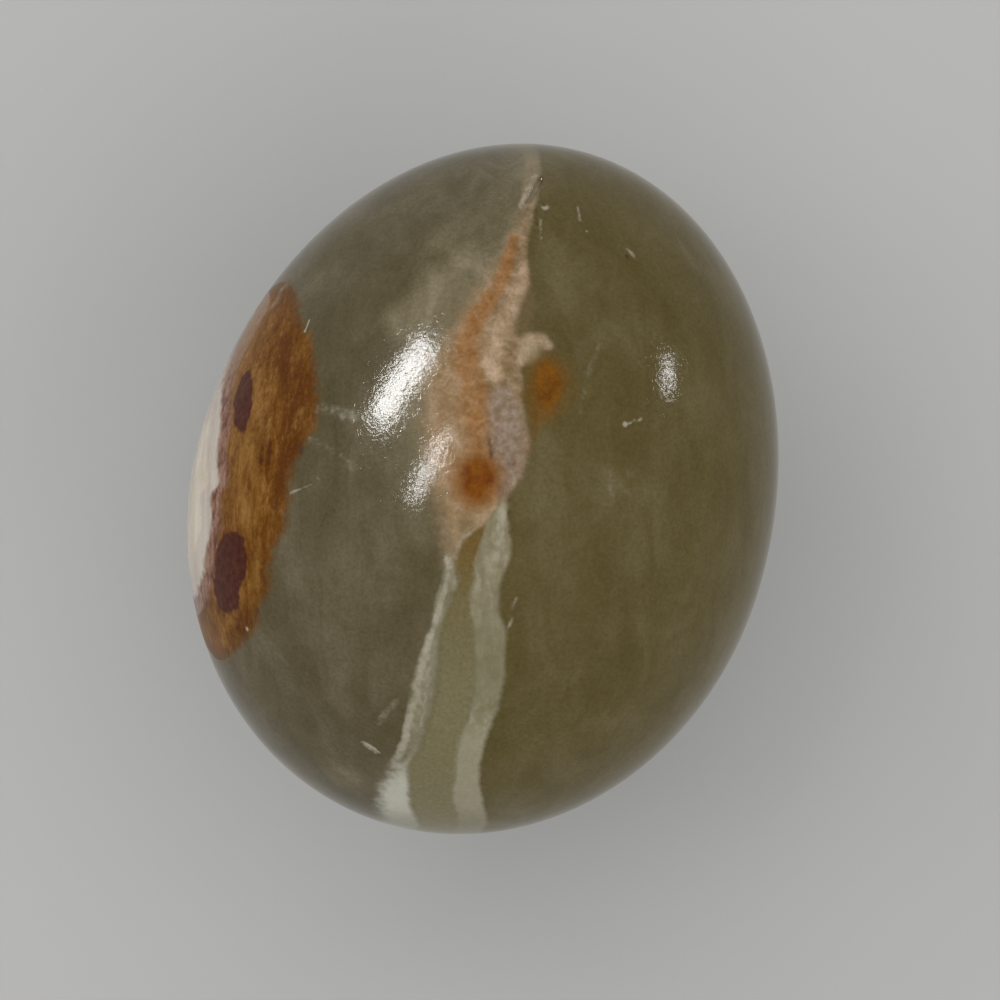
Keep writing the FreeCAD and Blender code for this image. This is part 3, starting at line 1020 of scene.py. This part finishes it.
def green_lens(n):
    """The lens and band between the two veins."""
    lens = n.tones(n.calc("ADD", n.fade("lens_top", 0.8), n.times(n.mottle, 0.2)),
                   (0.05, 118, 111, 83), (0.45, 110, 102, 74), (0.72, 108, 98, 67),
                   (0.9, 104, 85, 50))
    in_lens = n.times(n.edge("lens_left", soft=0.5, rough=0.6),
                      n.within("sheet_left", soft=0.25, rough=0.3))
    n.cover(in_lens, lens)


def seam_and_right_vein(n):
    """The sheet that is the pink seam above and the right vein below."""
    seam = n.tones(n.mottle, (0.34, 110, 91, 64), (0.46, 128, 107, 79), (0.56, 141, 119, 92),
                   (0.68, 158, 136, 110))
    vein = n.tones(n.weighed((n.threads, 0.5), (n.mottle, 0.5)),
                   (0.38, 118, 111, 87), (0.5, 130, 123, 99), (0.62, 146, 138, 116))
    dull = n.times(n.fade("clear_below"), n.fade("dull_above"), 0.55)
    vein = n.paint(vein, dull, (116, 112, 86))
    vein = n.paint(vein, n.fade("pale_foot", 0.65), (150, 145, 122))
    vein = n.paint(vein, n.fade("right_vein_rim", 0.6), (108, 102, 76))
    sheet = n.paint(vein, n.step(n.torn(n.along, 3.0), *FADES["seam"]), seam)
    sheet = n.paint(sheet, n.fade("seam_to_grey", 0.8), (124, 115, 91))
    sheet = n.paint(sheet, n.fade("seam_tip", 0.8), (102, 95, 70))
    in_sheet = n.times(n.edge("sheet_left", soft=0.3), n.within("sheet_right", soft=0.3))
    n.cover(in_sheet, sheet)


def spots_and_threads(n):
    """The marks, lumps and inclusions that lie over the layers, and a painted highlight glow among
    the cream marks.
    """
    amber = n.tones(n.mottle, (0.35, 126, 85, 44), (0.65, 152, 110, 70))
    n.cover(n.times(n.mark("amber"), n.edge("rust_right", soft=0.3), 0.85), amber)
    granular = n.tones(n.grain("granules"), (0.36, 122, 103, 84), (0.5, 133, 115, 98),
                       (0.66, 146, 130, 116))
    n.cover(n.times(n.mark("pink"), 0.9), granular)
    n.cover(n.times(n.mark("olive", rough=0.8), 0.8), (104, 89, 62))
    # cream lumps of the stone, and along the second highlight a painted highlight glow
    lump_and_glow = n.tones(n.mottle, (0.38, 160, 136, 108), (0.62, 184, 160, 134))
    n.cover(n.times(n.mark("cream", rough=0.35), 0.9), lump_and_glow)
    n.cover(n.times(n.within("cream_nodule", soft=0.5, rough=1.2), 0.7), (160, 142, 114))
    n.cover(n.step(n.read("amber_core"), 1.5, 0.0, 0.8), (124, 84, 42))
    core = n.tones(n.grain("core"), (0.3, 100, 54, 14), (0.7, 124, 76, 30))
    n.cover(n.within("amber_core", soft=0.6, rough=1.2), core)
    umber = n.times(n.mark("umber", rough=0.6), n.edge("sheet_right", soft=0.5), 0.85)
    n.cover(umber, (98, 73, 38))
    n.cover(n.step(n.read("amber_spot"), 1.7, 0.0, 0.75), (100, 74, 36))
    spot = n.tones(n.grain("spot"), (0.3, 98, 60, 16), (0.7, 118, 78, 30))
    n.cover(n.within("amber_spot", soft=0.45, rough=1.0), spot)
    n.cover(n.times(n.mark("pale"), 0.85), (170, 163, 146))
    n.cover(n.times(n.mark("dark"), 0.85), (74, 50, 34))


def stone_group():
    """The whole stone's colour. Every piece shares it, so that the layers' soft edges run on
    from one piece to the next."""
    n = Field()
    for layer in (green_body, rust_bed, pale_beds, amber_stain, left_vein, green_lens,
                  seam_and_right_vein, spots_and_threads):
        layer(n)
    n.add("NodeGroupOutput", {"Color": n.colour})
    return n.tree


def creased_peel(n):
    """The polish's height: a soft peel, with short creases along the borders of bent cells."""
    bends = {0: n.bed(), 1: n.grain("crease_bends")}
    bent = n.add("ShaderNodeVectorMath", bends, operation="ADD").outputs[0]
    inputs = {"Vector": bent, "Scale": CREASE_CELLS}
    cells = n.add("ShaderNodeTexVoronoi", inputs, feature="DISTANCE_TO_EDGE")
    crease = n.step(cells.outputs["Distance"], CREASE_WIDTH, 0.0, CREASE_DEPTH)
    crease = n.times(crease, n.step(n.grain("crease_gaps"), *CREASE_GAPS))
    return n.calc("SUBTRACT", n.grain("peel"), crease)


def stone_material(slot, group):
    material = bpy.data.materials.new(slot)
    material.use_nodes = True
    n = Nodes(material.node_tree)
    shader = material.node_tree.nodes["Principled BSDF"]
    field = n.add("ShaderNodeGroup", node_tree=group)
    speckle = SPECKLE.get(slot, COMMON_SPECKLE)
    levels = [(level, level, level, 1) for level in (1 - speckle, 1 + speckle)]
    specks = n.ramp(n.grain("specks"), *zip(SPECK_RANGE, levels))
    colour = n.mix(1.0, field.outputs["Color"], specks, way="MULTIPLY")
    heights = {"Strength": 1.0, "Distance": PEEL_HEIGHT * MM, "Height": creased_peel(n)}
    bump = n.add("ShaderNodeBump", heights).outputs["Normal"]
    roughness, specular = DULLER.get(slot, POLISH)
    n.fill_in(shader, {"Base Color": colour, "Roughness": roughness, "IOR": STONE_IOR,
                       "Specular IOR Level": specular, "Normal": bump})
    return material


def plain_floor():
    bpy.ops.mesh.primitive_plane_add(size=FLOOR_SIDE)
    floor = bpy.context.object
    floor.name = "floor"
    plaster = bpy.data.materials.new("floor")
    plaster.use_nodes = True
    looks = {"Base Color": FLOOR_TONE, "Roughness": FLOOR_ROUGHNESS}
    Nodes(plaster.node_tree).fill_in(plaster.node_tree.nodes["Principled BSDF"], looks)
    floor.data.materials.append(plaster)


def camera():
    data = bpy.data.cameras.new("camera")
    data.sensor_width = SENSOR
    data.lens = FOCAL_PIXELS / IMAGE_SIDE * SENSOR
    thing = bpy.data.objects.new("camera", data)
    place = to_egg(CAMERA_PLACE) * MM
    thing.location = EGG_MIDDLE + Vector(place)
    thing.rotation_euler = (0, 0, BEDDING_TURN)
    show(thing)
    bpy.context.scene.camera = thing


def mirrored(pixel):
    """The place on the skin at a pixel, and the way the photograph's line of sight leaves it, in
    the egg's axes."""
    place = to_egg(seen([pixel]))[0]
    normal = skin_normals(place[None])[0]
    way = place - to_egg(CAMERA_PLACE)
    way /= norm(way)
    return place, way - 2 * (way @ normal) * normal


def window(name, pixel, end, start, half_width, radiance):
    """A plain lit window where the photograph's highlight shows its reflection."""
    place, way = mirrored(pixel)
    long_way = mirrored(end)[1] - mirrored(start)[1]
    turn = np.array(end, float) - start
    aside = np.array([-turn[1], turn[0]]) / norm(turn) * half_width
    short_way = mirrored(pixel + aside)[1] - mirrored(pixel - aside)[1]
    x_axis = long_way - (long_way @ way) * way
    x_axis /= norm(x_axis)
    y_axis = np.cross(way, x_axis)
    data = bpy.data.lights.new(name, "AREA")
    data.shape = "RECTANGLE"
    data.size = WINDOW_DISTANCE * norm(long_way) * MM
    data.size_y = WINDOW_DISTANCE * norm(short_way) * MM
    data.energy = radiance * data.size * data.size_y * math.pi
    thing = bpy.data.objects.new(name, data)
    thing.visible_diffuse = False
    turned = Matrix(np.stack([x_axis, y_axis, way], 1).tolist()).to_4x4()
    where = EGG_MIDDLE + Vector((place + way * WINDOW_DISTANCE) * MM)
    thing.matrix_world = Matrix.Translation(where) @ turned
    show(thing)


def fill(name, bearing, height, level):
    """A broad soft lamp that the polish doesn't show."""
    data = bpy.data.lights.new(name, "AREA")
    data.size = FILL_SIDE
    data.energy = level * FILL_SIDE ** 2 * math.pi
    thing = bpy.data.objects.new(name, data)
    turn = Matrix.Rotation(math.radians(bearing), 4, "Z")
    tilt = Matrix.Rotation(math.radians(90 - height), 4, "Y")
    out = Matrix.Translation((0, 0, FILL_DISTANCE))
    thing.matrix_world = Matrix.Translation(EGG_MIDDLE) @ turn @ tilt @ out
    thing.visible_glossy = False
    show(thing)


def light():
    world = bpy.data.worlds.new("world")
    bpy.context.scene.world = world
    world.use_nodes = True
    sky = {"Color": (1, 1, 1, 1), "Strength": WORLD_LEVEL}
    Nodes(world.node_tree).fill_in(world.node_tree.nodes["Background"], sky)
    for number, facts in enumerate(WINDOWS):
        window(f"window_{number + 1}", *facts)
    for number, facts in enumerate(FILLS):
        fill(f"fill_{number + 1}", *facts)


bpy.context.scene.view_settings.view_transform = "Standard"
group = stone_group()
materials = {slot: stone_material(slot, group) for slot in sorted(set(SLOTS.values()))}
made = place_pieces(stone_pieces())
for node, thing in made.items():
    thing.data.materials.clear()
    thing.data.materials.append(materials[SLOTS[node]])
plain_floor()
camera()
light()
